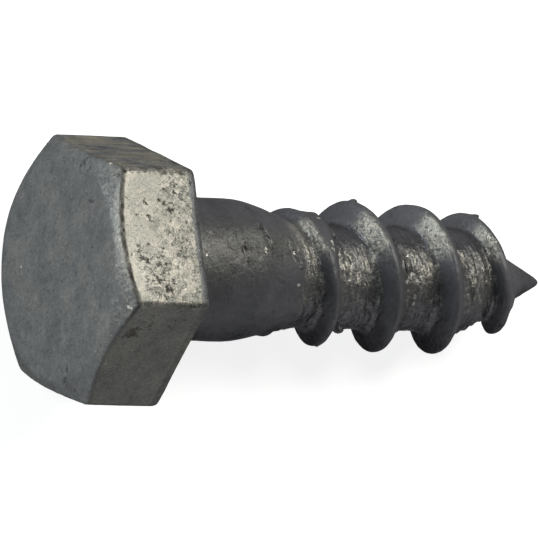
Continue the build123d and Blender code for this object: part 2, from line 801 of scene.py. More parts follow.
@dataclass(frozen=True)
class Blemish:
    """A lump or pit in the zinc, at a place on the screw.

    along is mm from the bearing face, turn degrees from the row's +Y towards
    up, and out mm from the axis. size is its half-lengths along the axis,
    round it and out from it.
    """

    shape: Shape
    along: float
    turn: float
    out: float
    size: Triple
    twist: float = 0.0

    def build(self) -> bpy.types.Object:
        """Model it as a small ball, stretched and turned to its place.

        Returns:
            The ball.
        """
        outward = facing(self.turn)
        along = Vector((0, 0, 1))
        place = Matrix((outward, along.cross(outward), along)).transposed().to_4x4()
        place = place @ Matrix.Rotation(math.radians(self.twist), 4, "X")
        deselect_all()
        bpy.ops.mesh.primitive_ico_sphere_add(subdivisions=3, radius=1)
        ball = bpy.context.active_object
        ball.matrix_world = (
            Matrix.Translation(outward * self.out + along * self.along)
            @ place
            @ Matrix.Diagonal((self.size[2], self.size[1], self.size[0], 1))
        )
        return named(self.shape.name.lower())


@dataclass(frozen=True)
class Fold:
    """A crooked groove with a raised lip, where the rolling folded the skin.

    path is a line of points on the surface, each given as mm along the axis
    and degrees round it. Nothing farther than reach and reach_turn from its
    first point is lifted.
    """

    path: tuple[tuple[float, float], ...]
    depth: float = 0.09
    width: float = 0.1
    lip: float = 0.07
    lip_from_groove: float = 1.8
    crook: float = 0.16
    crook_scale: float = 3.0
    reach: float = 2.0
    reach_turn: float = 60.0

    def height(self, along: float, turn: float, radius: float) -> float:
        """How far the fold lifts the surface at a place.

        Args:
            along: Distance along the axis, in mm.
            turn: Direction from the axis, in degrees.
            radius: Distance from the axis, in mm.

        Returns:
            The height, in mm, below 0 in the groove.
        """
        first_along, first_turn = self.path[0]
        if abs(along - first_along) > self.reach or abs(turn - first_turn) > self.reach_turn:
            return 0.0
        scale = math.radians(1) * radius
        place = Vector((along, turn * scale))
        wander = noise.noise(Vector((along * self.crook_scale, place.y * self.crook_scale, 7.0)))
        place.x += wander * self.crook
        nearest = 1.0
        for (a0, t0), (a1, t1) in zip(self.path, self.path[1:]):
            start, way = Vector((a0, t0 * scale)), Vector((a1 - a0, (t1 - t0) * scale))
            share = min(1.0, max(0.0, (place - start).dot(way) / way.length_squared))
            off = place - start - way * share
            if off.length < abs(nearest):
                nearest = math.copysign(off.length, off.x)
        groove = math.exp(-((nearest / self.width) ** 2)) * self.depth
        past_lip = nearest - self.lip_from_groove * self.width
        lip = math.exp(-((past_lip / self.width) ** 2)) * self.lip
        return (lip - groove) * (1 + 2 * wander)


@dataclass(frozen=True)
class Ripple:
    """Waves about 1/scale long and up to rise high, in mm."""

    scale: float
    rise: float

    def height(self, place: Vector) -> float:
        """Height at a place."""
        return noise.noise(place * self.scale) * self.rise


@dataclass(frozen=True)
class DippedSkin:
    """The uneven skin that the zinc leaves, as moves along the normals.

    On the thread the zinc ran round with the helix, so that its ripples are
    long along the helix and short across it. It gathered in a lumpy line at
    the foot of the thread's far flank.
    """

    thread: LagThread
    head_waves: tuple[Ripple, ...] = (Ripple(0.45, 0.014), Ripple(2.1, 0.0056))
    shank_waves: tuple[Ripple, ...] = (Ripple(0.7, 0.03), Ripple(2.6, 0.0105))
    run_waves: tuple[Ripple, ...] = (Ripple(1.0, 0.056), Ripple(2.3, 0.036))
    run_start: float = 7.8
    run_in: float = 1.2
    run_shrink: Triple = (0.8, 2.6, 0.6)
    calm_turn: float = 25.0
    folded: float = 1.5
    foot: float = 1.1
    foot_width: float = 0.24
    foot_rise: float = 0.32
    folds: tuple[Fold, ...] = (
        Fold(((5.4, 42), (5.5, 52), (5.5, 62), (5.75, 70), (6.0, 78), (6.05, 84))),
        Fold(((4.35, 85), (4.3, 90), (4.45, 94)), 0.06, 0.08, 0.06),
        Fold(((4.75, 84), (4.9, 90)), 0.05, 0.08, 0.02),
        Fold(((7.4, 76), (7.55, 84), (7.75, 92)), 0.05, 0.1, 0.11),
        Fold(((8.0, 84), (8.15, 95)), 0.04, 0.1, 0.08),
        Fold(((6.5, 111), (6.9, 114)), 0.05, 0.08, 0.03),
    )

    def depth(self, place: Vector) -> float:
        """Height of the skin at a place in the screw's own frame.

        Args:
            place: A point of the surface, in mm.

        Returns:
            The height, in mm.
        """
        radius = math.hypot(place.x, place.y)
        if place.z < 0:
            return sum(wave.height(place) for wave in self.head_waves)
        waves = sum(wave.height(place) for wave in self.shank_waves)
        rolled = between(place.z, self.run_start, self.run_start + self.run_in)
        turn = math.atan2(place.x, -place.y)
        across = place.z - self.thread.pitch * turn / (2 * math.pi)
        above = radius - self.thread.blank.core_radius(place.z)
        # The ripples fade up the flanks, and where the point grows thin.
        root = (1 - between(above, 0.15, 0.6)) * between(radius, 1.2, 2.4)
        # The two ends of the turn are blended, so that no seam shows.
        runs = self._runs(turn, radius, across)
        seam = between(turn, math.pi * 0.9, math.pi)
        if seam > 0:
            runs += seam * (
                self._runs(turn - 2 * math.pi, radius, across + self.thread.pitch) - runs
            )
        calm = between(math.cos(turn - math.radians(self.calm_turn)), 0.72, 0.95)
        runs *= rolled * (0.2 + 0.8 * root) * (1 - 0.75 * calm)
        if place.z < self.thread.start + self.folded:
            degrees = math.degrees(turn) % 360
            runs += sum(fold.height(place.z, degrees, radius) for fold in self.folds)
        return waves + runs + rolled * root * self._gathered(place, turn)

    def _gathered(self, place: Vector, turn: float) -> float:
        """Lumps of zinc along the foot of the far flank.

        Args:
            place: A point of the surface, in mm.
            turn: Its direction from the axis, in radians.

        Returns:
            The height, in mm.
        """
        pitch = self.thread.pitch
        crest = self.thread.full_start + pitch * (
            (math.degrees(turn) - self.thread.crest_turn) / 360
        )
        behind = (place.z - crest) % pitch
        near = math.exp(-(((behind - self.foot) / self.foot_width) ** 2))
        return near * self.foot_rise * max(0.0, noise.noise(place * 1.9) + 0.15)

    def _runs(self, turn: float, radius: float, across: float) -> float:
        """Ripples that follow the helix.

        Args:
            turn: Direction from the axis, in radians.
            radius: Distance from the axis, in mm.
            across: Distance from the helix along the axis, in mm.

        Returns:
            The height, in mm.
        """
        long, wide, deep = self.run_shrink
        flow = Vector((turn * radius * long, across * wide, radius * deep))
        return sum(wave.height(flow) for wave in self.run_waves)

    def lay(self, screw: bpy.types.Object) -> None:
        """Move every vertex of the screw along its normal.

        Args:
            screw: The finished mesh, in the screw's own frame.
        """
        mesh = screw.data
        normals = [normal.vector.copy() for normal in mesh.vertex_normals]
        for vertex, normal in zip(mesh.vertices, normals):
            vertex.co += normal * self.depth(vertex.co)
        mesh.update()


# ---- Finish ----


@dataclass(frozen=True)
class ScrewSpace:
    """Where a point of the surface lies on the screw, as signals in mm.

    spot is along the axis, to the side and up from it. turn is in radians
    round the axis from the front, and from_crest runs from half a pitch before
    the nearest crest to half a pitch behind it.
    """

    graph: Graph
    spot: Signal
    along: Signal
    side: Signal
    up: Signal
    radius: Signal
    turn: Signal
    from_crest: Signal

    @classmethod
    def on(cls, graph: Graph, lie: Lie, thread: LagThread, front: float) -> "ScrewSpace":
        """Build the coordinates.

        Args:
            graph: The material's graph.
            lie: How the screw lies.
            thread: The thread, for its pitch and its crest's place.
            front: The direction, in degrees, that turn 0 faces.

        Returns:
            The coordinates.
        """
        spot = graph.node(
            "Mapping",
            inputs={
                "Vector": graph.node("TexCoord", output="Object"),
                "Rotation": (0.0, -lie.dip, 0.0),
                "Scale": (1 / MM, 1 / MM, 1 / MM),
            },
        )
        along, side, up = (
            graph.node("SeparateXYZ", inputs={"Vector": spot}, output=name) for name in "XYZ"
        )
        radius = graph.math("SQRT", side * side + up * up)
        cos, sin = math.cos(math.radians(front)), math.sin(math.radians(front))
        turn = graph.math("ARCTAN2", up * cos - side * sin, side * cos + up * sin)
        behind = thread.pitch * (front - thread.crest_turn) / 360
        travelled = along - thread.full_start - behind - turn * (thread.pitch / (2 * math.pi))
        middle, reach = thread.stray_at, 2 * thread.stray_reach
        strayed = graph.window(along, middle - reach, middle, middle, middle + reach)
        travelled = travelled - strayed * thread.stray
        from_crest = graph.node(
            "Math", {"operation": "WRAP"}, {0: travelled, 1: thread.pitch / 2, 2: -thread.pitch / 2}
        )
        return cls(graph, spot, along, side, up, radius, turn, from_crest)

    def out(self, facing_turn: float) -> Signal:
        """Distance from the axis in one direction, in degrees like turn_at's."""
        angle = math.radians(facing_turn)
        return self.side * math.cos(angle) + self.up * math.sin(angle)

    def on_point(self, blank: Blank) -> Signal:
        """Radius that the conical point has, or would have, at each place."""
        return (blank.apex - self.along) * math.tan(math.radians(blank.point_angle / 2))

    def stretched(self, along: float, side: float, up: float) -> Signal:
        """spot with each of its directions scaled."""
        return self.graph.vector("MULTIPLY", self.spot, (along, side, up))

    def flow(self, pitch: float, stretch: float) -> Signal:
        """Coordinates that follow the helix and are stretched along it.

        They are whole all round but for one line, which lies where turn jumps.

        Args:
            pitch: The helix's pitch, in mm.
            stretch: How long the flow is for its width.

        Returns:
            The coordinates: across the helix, along it and out from the axis.
        """
        across = self.along - self.turn * (pitch / (2 * math.pi))
        return self.graph.node(
            "CombineXYZ",
            inputs={"X": across, "Y": self.turn * self.radius / stretch, "Z": self.radius / 2},
        )


@dataclass(frozen=True)
class Patch:
    """A place on the screw and its surroundings: along, to the side and up, in mm."""

    place: Triple
    reach: float
    strength: float = 1.0

    def closeness(self, at: ScrewSpace) -> Signal:
        """Strength at the place, falling to 0 at reach from it.

        Args:
            at: Where a point lies on the screw.

        Returns:
            The closeness.
        """
        distance = at.graph.node(
            "VectorMath", {"operation": "DISTANCE"}, {0: at.spot, 1: self.place}, "Value"
        )
        return at.graph.step(distance, self.reach, 0.0) * self.strength


@dataclass(frozen=True)
class Zones:
    """Where each finish and each patch of painted light lies on the screw: signals of 1 inside and
    0 outside.
    """

    on_head: Signal
    crease: Signal  # where the chamfer meets the flats
    scuffed: Signal  # the uppermost flat, scuffed bright
    coarse: Signal  # the rougher part of the scuff, towards the shank
    brown_flat: Signal  # the flat beside it towards +Y
    olive_flat: Signal  # the flat beside it towards -Y
    corner: Signal  # between the scuffed flat and the brown one
    rim: Signal  # the chamfer beside the scuffed flat
    rim_edge: Signal  # the rim's outer half, away from the corners
    bearing_strip: Signal  # the edge of the bearing face, where it isn't scuffed
    on_shank: Signal  # between the head and the thread
    collar: Signal  # the front of the shank beside the head, painted lighter as a patch of light
    sunny: Signal  # the front of the shank, which catches the light; its colour is painted as a lit copy
    threaded: Signal  # from the taper to the tip
    root: Signal
    # the front of the root, where glints are painted as highlights
    front_root: Signal
    rough_root: Signal  # the root, which is calmer towards +Y
    near_flank: Signal  # the thread's flank on the head's side
    rubbed: Signal  # the stretch of that flank that is rubbed bright, with a painted highlight where the light falls on it

    @classmethod
    def on(cls, at: ScrewSpace, head: HexHead, thread: LagThread) -> "Zones":
        """Mark the zones, with lengths in mm and turns in radians from the front.

        Args:
            at: Where a point lies on the screw.
            head: The head, for its edges.
            thread: The thread, for its core.

        Returns:
            The zones.
        """
        g = at.graph
        end_radius, to_flat = head.end_face_diameter / 2, head.across_flats / 2

        # The head. past_die is how far a place lies behind the cone of the chamfer.
        on_head = g.step(at.along, 0.27, 0.2)
        slope = math.tan(math.radians(head.chamfer_angle))
        past_die = at.along + head.height - (at.radius - end_radius) * slope
        outside = on_head * g.step(at.radius, end_radius + 0.1, end_radius + 0.3)
        on_flats = g.step(past_die, 0.03, 0.12) * outside
        crooked = past_die + (g.noise(at.spot, 2.4) - 0.5) * 0.14
        beside_scuff = g.window(at.side, -4.6, -3.4, 3.6, 4.2)
        crease = g.window(crooked, 0.0, 0.06, 0.15, 0.3) * outside * (0.2 + beside_scuff * 0.8)
        ragged = (g.noise(at.spot, 1.5, 3.0) - 0.5) * 0.5
        high = g.step(at.up + ragged, to_flat - 0.25, to_flat - 0.05)
        scuffed = on_flats * high * g.step(at.along + ragged * 0.7, -0.24, -0.34)
        chamfer = (1 - on_flats) * g.step(past_die, 0.25, 0.05)
        rim = on_head * chamfer * g.step(at.radius, end_radius - 0.1, end_radius + 0.15)
        rim_middle = g.window(at.side, -3.2, -1.8, 2.4, 3.2)

        # The rest.
        threaded = g.step(at.along, 7.6, 9.0)
        on_shank = (1 - on_head) * (1 - threaded)
        front_of_collar = g.window(at.turn, -0.7, -0.2, 0.4, 0.8)
        sunny = g.step(at.turn, -0.85, -0.5) * g.step(at.turn + at.along * 0.08, 0.6, 0.1)
        core = g.math("MINIMUM", at.on_point(thread.blank), thread.blank.root_diameter / 2)
        above = at.radius - core
        root = threaded * g.step(above, 0.45, 0.15) * g.step(at.radius, 1.4, 2.3)
        calm = g.window(at.turn, -2.5, -2.1, -1.05, -0.7)
        near_flank = threaded * g.step(at.from_crest, 0.0, -0.2) * g.step(above, 0.1, 0.35)
        return cls(
            on_head=on_head,
            crease=crease,
            scuffed=scuffed,
            coarse=scuffed * g.step(at.along - at.side * 0.3, -3.4, -1.8),
            brown_flat=on_flats * g.step(at.out(30), to_flat - 0.4, to_flat - 0.1),
            olive_flat=on_flats * g.step(at.out(150), to_flat - 0.4, to_flat - 0.1),
            corner=on_flats * g.step(at.out(60), 7.3, 7.4),
            rim=rim * g.step(at.up, 4.6, 5.6),
            rim_edge=g.step(at.up, 6.05, 6.4) * rim_middle,
            bearing_strip=on_head * g.step(at.along, -0.42, -0.3) * (1 - scuffed),
            on_shank=on_shank,
            collar=(1 - on_head) * g.step(at.along, 2.6, 0.6) * front_of_collar,
            sunny=on_shank * sunny,
            threaded=threaded,
            root=root,
            front_root=root * g.window(at.turn, -0.75, -0.35, 0.1, 0.9),
            rough_root=root * (1 - calm * 0.8),
            near_flank=near_flank,
            rubbed=near_flank * g.window(at.turn, -1.25, -0.95, -0.6, -0.2),
        )


@dataclass(frozen=True)
class Patterns:
    """How uneven the zinc is: signals of about 0 on average, from broad to fine."""

    at: ScrewSpace
    warped: Signal  # coordinates a little off, so that cells lose their round look
    broad: Signal
    mottle: Signal
    frost: Signal
    grain: Signal
    streak: Signal  # along the helix
    drawn: Signal  # along the axis
    brushed: Signal  # from side to side
    spangle: Signal  # crystals, each of one level
    pebbles: Signal  # small domes, drawn out along the helix
    salt: Signal  # 1 on a pale grain and 0 between them

    @classmethod
    def on(cls, at: ScrewSpace, pitch: float) -> "Patterns":
        """Lay the patterns on the screw, whose helix has a pitch in mm.

        Args:
            at: Where a point lies on the screw.
            pitch: The helix's pitch, in mm.

        Returns:
            The patterns.
        """
        g = at.graph
        settings = {"Vector": at.spot, "Scale": 3.0, "Detail": 2.0}
        cloud = g.node("TexNoise", inputs=settings, output="Color")
        drift = g.scaled(g.vector("SUBTRACT", cloud, (0.5, 0.5, 0.5)), 0.5)
        warped = g.vector("ADD", at.spot, drift)
        flow = at.flow(pitch, 3.5)
        cells = g.node("TexVoronoi", inputs={"Vector": warped, "Scale": 3.0}, output="Color")
        return cls(
            at=at,
            warped=warped,
            broad=g.noise(at.spot, 0.4, 3.0) - 0.5,
            mottle=g.noise(warped, 1.3, 4.0, 0.65) - 0.5,
            frost=g.noise(at.spot, 4.5, 3.0, 0.7) - 0.5,
            grain=g.noise(at.spot, 11.0, 2.0, 0.6) - 0.5,
            streak=g.noise(flow, 3.6, 3.0, 0.6) - 0.5,
            drawn=g.noise(at.stretched(0.6, 2.2, 2.2), 1.0, 4.0, 0.62) - 0.5,
            brushed=g.noise(at.stretched(1.6, 0.4, 1.6), 1.0, 4.0, 0.6) - 0.5,
            spangle=g.node("SeparateColor", inputs={"Color": cells}) - 0.5,
            pebbles=0.45 - g.node("TexVoronoi", inputs={"Vector": flow, "Scale": 4.2}),
            salt=g.step(g.noise(at.spot, 6.5, 2.0, 0.7), 0.6, 0.68),
        )

    def specks(self, scale: float, reach: float, share: float) -> Signal:
        """Pinholes that the flux left.

        Args:
            scale: How many cells, each with or without a pinhole, go to a mm.
            reach: Radius of a pinhole, as a part of its cell.
            share: The share of the cells that stay bare.

        Returns:
            1 in a pinhole and 0 outside.
        """
        g = self.at.graph
        settings = {"Vector": self.warped, "Scale": scale}
        distance = g.node("TexVoronoi", inputs=settings)
        cell = g.node("TexVoronoi", inputs=settings, output="Color")
        chosen = g.node("SeparateColor", inputs={"Color": cell})
        return g.step(distance, reach, reach * 0.3) * g.step(chosen, share, share + 0.08)

    def blots(self, scuffed: Signal, near: Signal) -> Signal:
        """Dark corroded spots and crooked lines.

        Args:
            scuffed: 1 on the scuffed flat, where they show most.
            near: How near a corroded place is, from 0 to about 1.

        Returns:
            1 in a spot and 0 outside.
        """
        g = self.at.graph
        spots = g.noise(self.at.spot, 2.2, 4.0, 0.7) - 0.5 - near * (0.155 - scuffed * 0.078)
        line = g.math("ABSOLUTE", g.noise(self.at.spot, 1.7, 3.0, 0.6) - 0.5)
        crooked = g.step(line, 0.02, 0.0) * g.step(near, 0.15, 0.6) * 0.35
        return g.clamp(g.step(spots, -0.12, -0.22) * (0.62 + scuffed * 0.18) + crooked * scuffed)


@dataclass(frozen=True)
class Marks:
    """What has happened to the zinc, and where light is painted on it, as signals from 0 to 1."""

    wear_and_painted_light: Signal
    dark: Signal
    painted_glints: Signal


@dataclass(frozen=True)
class DippedZinc:
    """Dull hot-dip galvanised steel, scuffed bright on the uppermost flat, with painted light,
    shade and glints on the shank and thread.
    """

    name: str = "dipped_zinc"
    patina: Triple = (0.1215, 0.1245, 0.127)
    olive: Triple = (0.124, 0.121, 0.108)
    # the shank's darker patina, with a bluish tint that is painted shade
    shank_patina_shaded: Triple = (0.089, 0.089, 0.096)
    bright: Triple = (0.203, 0.201, 0.181)
    rosy: Triple = (0.22, 0.208, 0.187)
    stain: Triple = (0.04, 0.036, 0.033)
    brown: Triple = (0.13, 0.118, 0.097)
    # a lighter, warmer copy of the shank's patina: painted light on its front
    lit_shank: Triple = (0.094, 0.0935, 0.0895)
    # the colour of the small highlights painted on the zinc
    painted_glint_colour: Triple = (0.46, 0.445, 0.405)
    front: float = 106.5
    # places of the painted glints, where the light would catch the zinc
    painted_glints: tuple[Patch, ...] = (
        Patch((1.9, -0.15, 3.87), 0.2, 0.7),
        Patch((5.65, 0.3, 3.83), 0.22, 0.9),
        Patch((5.65, 0.05, 3.83), 0.22, 0.9),
        Patch((7.75, 0.3, 3.3), 0.26, 0.85),
        Patch((8.0, -1.35, 2.87), 0.26, 0.75),
        Patch((10.1, 2.55, 2.3), 0.22, 0.8),
        Patch((10.1, 1.0, 3.37), 0.22, 0.8),
        Patch((10.1, 0.75, 3.45), 0.22, 0.75),
        Patch((10.05, 0.5, 3.53), 0.24, 0.85),
        Patch((11.3, 0.75, 2.7), 0.24, 0.75),
        Patch((11.75, -1.1, 2.57), 0.22, 0.8),
        Patch((11.85, -0.4, 2.77), 0.3, 0.65),
        Patch((15.15, 0.45, 2.75), 0.3, 0.7),
        Patch((15.55, -1.65, 2.3), 0.24, 0.8),
        Patch((15.6, -2.0, 2.03), 0.22, 0.75),
        Patch((19.8, -0.15, 2.75), 0.24, 0.75),
        Patch((20.45, 1.65, 2.8), 0.34, 0.9),
        Patch((20.6, 1.35, 3.0), 0.3, 0.8),
        Patch((-4.4, 4.2, 5.7), 0.2, 0.8),
        Patch((-4.5, -3.7, 5.87), 0.2, 0.9),
        Patch((-4.4, -3.85, 6.0), 0.2, 0.9),
        Patch((-5.0, 1.15, -3.75), 0.14, 0.8),
        Patch((-4.7, -2.15, 6.27), 0.14, 0.75),
    )
    corroded: tuple[Patch, ...] = (
        Patch((-0.85, 2.3, 6.5), 1.7),
        Patch((-3.3, -1.2, 6.5), 1.3),
        Patch((-2.7, -2.5, 6.5), 1.8),
        Patch((-0.9, -0.8, 6.5), 1.0, 0.6),
        Patch((-3.3, -4.6, 5.1), 1.3, 0.8),
        Patch((-5.0, 4.4, 3.9), 1.1),
        Patch((-5.0, -5.7, -0.5), 1.2, 1.0),
        Patch((-5.0, 2.6, 4.1), 0.8, 0.8),
        Patch((-5.0, -0.6, -1.0), 1.4, 0.6),
        Patch((-4.6, 3.4, 6.3), 0.7, 0.9),
        Patch((-3.9, -4.9, 4.6), 0.9, 0.9),
        Patch((-1.8, 3.8, 6.5), 0.8, 0.8),
        Patch((-0.6, 4.7, 4.8), 1.2, 0.7),
    )

    def material(self, lie: Lie, head: HexHead, thread: LagThread) -> bpy.types.Material:
        """Build the zinc.

        Args:
            lie: How the screw lies.
            head: The head, for the edges that its finish follows.
            thread: The thread, whose helix the zinc ran round.

        Returns:
            The material.
        """
        material = bpy.data.materials.new(self.name)
        g = Graph(material)
        at = ScrewSpace.on(g, lie, thread, self.front)
        zones, zinc = Zones.on(at, head, thread), Patterns.on(at, thread.pitch)
        marks = Marks(self._wear_and_painted_light(zones, zinc), self._dark(zones, zinc), self._painted_glints(zinc))
        relief = self._relief(zones, zinc, marks)
        bump = g.node("Bump", inputs={"Strength": 1.0, "Distance": MM, "Height": relief})
        shader = g.node(
            "BsdfPrincipled",
            inputs={
                "Base Color": self._tone(zones, zinc, marks),
                "Metallic": self._gloss(zones, zinc, marks),
                "Roughness": self._roughness(zones, zinc, marks),
                "Specular IOR Level": 0.0,
                "Specular Tint": grey(0.25),
                "Normal": bump,
            },
        )
        g.node("OutputMaterial", inputs={"Surface": shader})
        return material

    @staticmethod
    def _wear_and_painted_light(zones: Zones, zinc: Patterns) -> Signal:
        """Where the patina has gone, on the scuff, the rim and the flanks, and where highlights are
        painted: on the flanks and as the root's glints.

        Args:
            zones: Where each finish lies.
            zinc: How uneven the zinc is.

        Returns:
            1 where the patina has gone and 0 where it is whole.
        """
        g = zinc.at.graph
        rough_place = g.step(
            zinc.streak * 0.6 + zinc.frost * 0.8 + zinc.mottle * 0.5 + zinc.pebbles * 0.35,
            0.0,
            0.18,
        )
        return g.clamp(
            zones.scuffed
            + zones.rim * (0.1 + zones.rim_edge * 0.46 + zinc.frost * 2.5 + zinc.mottle)
            # painted highlight on the near flanks, where the light falls, on partly rubbed zinc
            + zones.rubbed * (0.95 + zinc.frost * 5)
            # painted glints in the front of the root, where the light catches it
            + g.clamp(zones.front_root * (0.34 + rough_place * 1.05))
        )

    def _dark(self, zones: Zones, zinc: Patterns) -> Signal:
        """Stains: pinholes, corroded spots, the crease and the top corner.

        Args:
            zones: Where each finish lies.
            zinc: How uneven the zinc is.

        Returns:
            1 in a stain and 0 outside.
        """
        g = zinc.at.graph
        near = g.total(place.closeness(zinc.at) for place in self.corroded)
        dark = zinc.specks(2.0, 0.13, 0.6) * 0.75 + zinc.blots(zones.scuffed, near)
        dark = dark + zones.crease * (0.75 + zinc.mottle * 2.2)
        rubbed_corner = zones.corner * g.step(zinc.mottle + zinc.frost, -0.02, 0.12)
        return g.clamp(dark + rubbed_corner * 0.7)

    def _painted_glints(self, zinc: Patterns) -> Signal:
        """Small bright glints, painted as highlights, of no regular shape.

        Args:
            zinc: How uneven the zinc is.

        Returns:
            1 on a painted glint and 0 outside.
        """
        g = zinc.at.graph
        near = g.total(place.closeness(zinc.at) for place in self.painted_glints)
        return g.step(near * (1 + zinc.frost * 4 + zinc.grain * 3), 0.4, 0.62)

    def _tone(self, zones: Zones, zinc: Patterns, marks: Marks) -> Signal:
        """Colour, from the patina up to the marks on it, with painted light, shade and glints.

        Args:
            zones: Where each finish lies.
            zinc: How uneven the zinc is.
            marks: What has happened to the zinc.

        Returns:
            The colour.
        """
        g = zinc.at.graph
        # the shank's patina, tinted bluish as painted shade
        patina = g.colour(zones.on_head, rgba(self.shank_patina_shaded), rgba(self.patina))
        warm = g.step(zinc.broad + zinc.mottle * 0.4 + zinc.brushed * 0.6, -0.03, 0.14)
        warm = g.clamp(warm * 0.4 * zones.on_head + zones.olive_flat * 0.5)
        tone = g.colour(warm, patina, rgba(self.olive))
        # painted light: the front of the shank takes a lit copy of its colour
        tone = g.colour(zones.sunny * 0.8, tone, rgba(self.lit_shank))
        brown_streak = zones.brown_flat * g.step(zinc.drawn, -0.06, 0.1)
        tone = g.colour(brown_streak * 0.9, tone, rgba(self.brown))
        crystal = g.step(zinc.spangle + zinc.frost, -0.3, 0.4)
        # bare zinc, and the painted highlights of the flanks and the root, take the bright colour
        tone = g.colour(marks.wear_and_painted_light, tone, g.colour(crystal, rgba(self.bright), rgba(self.rosy)))
        tone = g.scaled(tone, self._level(zones, zinc, marks))
        # painted glints
        tone = g.colour(marks.painted_glints, tone, rgba(self.painted_glint_colour))
        return g.colour(marks.dark, tone, rgba(self.stain))

    @staticmethod
    def _level(zones: Zones, zinc: Patterns, marks: Marks) -> Signal:
        """How light each place is beside its own tone, about 1 on average, with painted light and
        shade.

        Args:
            zones: Where each finish lies.
            zinc: How uneven the zinc is.
            marks: What has happened to the zinc.

        Returns:
            What the tone is multiplied by.
        """
        g, at = zinc.at.graph, zinc.at
        grainy = g.clamp(
            zones.coarse * 0.7 + zones.sunny * 0.6 + zones.rubbed + zones.front_root * 0.7
        )
        salted = zones.sunny * 0.5 + zones.on_head * g.step(zinc.broad, -0.05, 0.05) * 0.5
        first_turns = g.step(at.along, 13.5, 11.5)
        last_turns = g.step(at.along, 15.0, 16.5)
        return g.total(
            (
                # Patterns, each as strong as its place allows.
                1 + zinc.broad * 0.6,
                zinc.mottle * (0.5 + zones.on_head * 0.25 + zones.sunny * 0.5),
                zinc.spangle * (marks.wear_and_painted_light * 0.2 + zones.coarse * 0.3),
                zinc.frost * (0.5 + zones.on_head * 0.4 + grainy * 1.3),
                zinc.grain * (0.35 + zones.on_head * 0.5 + grainy * 1.3),
                zinc.salt * salted,
                zones.brown_flat * (0.09 + zinc.drawn * 2.3 + zinc.mottle * 0.8),
                # Lighter places: painted light and painted highlights.
                # painted light on the shank beside the head
                zones.collar * 0.4,
                # painted highlight on the near flanks, stronger on the last turns
                zones.rubbed * (0.08 + last_turns * 0.22),
                # painted highlights on the roots and flanks of the first turns
                (zones.front_root + zones.rubbed) * first_turns * 0.13,
                # Darker places.
                zones.bearing_strip * -0.2,
                zones.coarse * -0.17,
                # painted shade: the lower side of the shank, away from the light, is darker
                zones.on_shank * g.step(at.turn, 0.4, 1.0) * -0.17,
                # painted shade: the lower part of the near flanks, shaded by the head, is darker
                zones.near_flank * g.step(at.turn, 0.2, 1.2) * -0.36,
                # fainter painted glints in the later roots
                zones.front_root * g.step(at.along, 17.4, 18.4) * -0.08,
                g.step(at.along, 22.9, 23.6) * -0.16,
            )
        )

    @staticmethod
    def _roughness(zones: Zones, zinc: Patterns, marks: Marks) -> Signal:
        """Roughness: the root is smoothest, and stains are dull.

        Args:
            zones: Where each finish lies.
            zinc: How uneven the zinc is.
            marks: What has happened to the zinc.

        Returns:
            The roughness, from 0 to 1.
        """
        rough = 0.39 + zones.on_head * 0.03 - zones.root * 0.1
        rough = rough + zinc.mottle * 0.15 + zinc.frost * 0.35 + marks.dark * 0.2
        return zinc.at.graph.clamp(rough)

    @staticmethod
    def _relief(zones: Zones, zinc: Patterns, marks: Marks) -> Signal:
        """Height of the finest unevenness, in mm.

        Args:
            zones: Where each finish lies.
            zinc: How uneven the zinc is.
            marks: What has happened to the zinc.

        Returns:
            The height.
        """
        off_head = 1 - zones.on_head
        frost_rise = 0.012 + marks.wear_and_painted_light * 0.012 + off_head * 0.022 + zones.rough_root * 0.02
        return zinc.at.graph.total(
            (
                zinc.mottle * (0.025 + zones.rough_root * 0.05),
                zinc.frost * frost_rise,
                zinc.grain * (0.004 + off_head * 0.006),
                zinc.spangle * marks.wear_and_painted_light * 0.006,
                zinc.pebbles * zones.rough_root * 0.05,
                zinc.streak * (0.01 + zones.rough_root * 0.05) * zones.threaded,
                marks.painted_glints * 0.03,
                marks.dark * -0.02,
            )
        )

    @staticmethod
    def _gloss(zones: Zones, zinc: Patterns, marks: Marks) -> Signal:
        """How metallic the zinc looks: most on bare zinc and painted highlights, and in the root.

        Args:
            zones: Where each finish lies.
            zinc: How uneven the zinc is.
            marks: What has happened to the zinc.

        Returns:
            The share that is metallic, from 0 to 1.
        """
        gloss = 0.32 + zones.on_head * 0.11 + marks.wear_and_painted_light * 0.1 - zones.rim * 0.15
        gloss = gloss + zones.root * 0.2 - marks.dark * 0.2
        return zinc.at.graph.clamp(gloss + (zinc.mottle + zinc.frost) * 0.4 * (1 - zones.on_head))


# ---- The whole screw ----


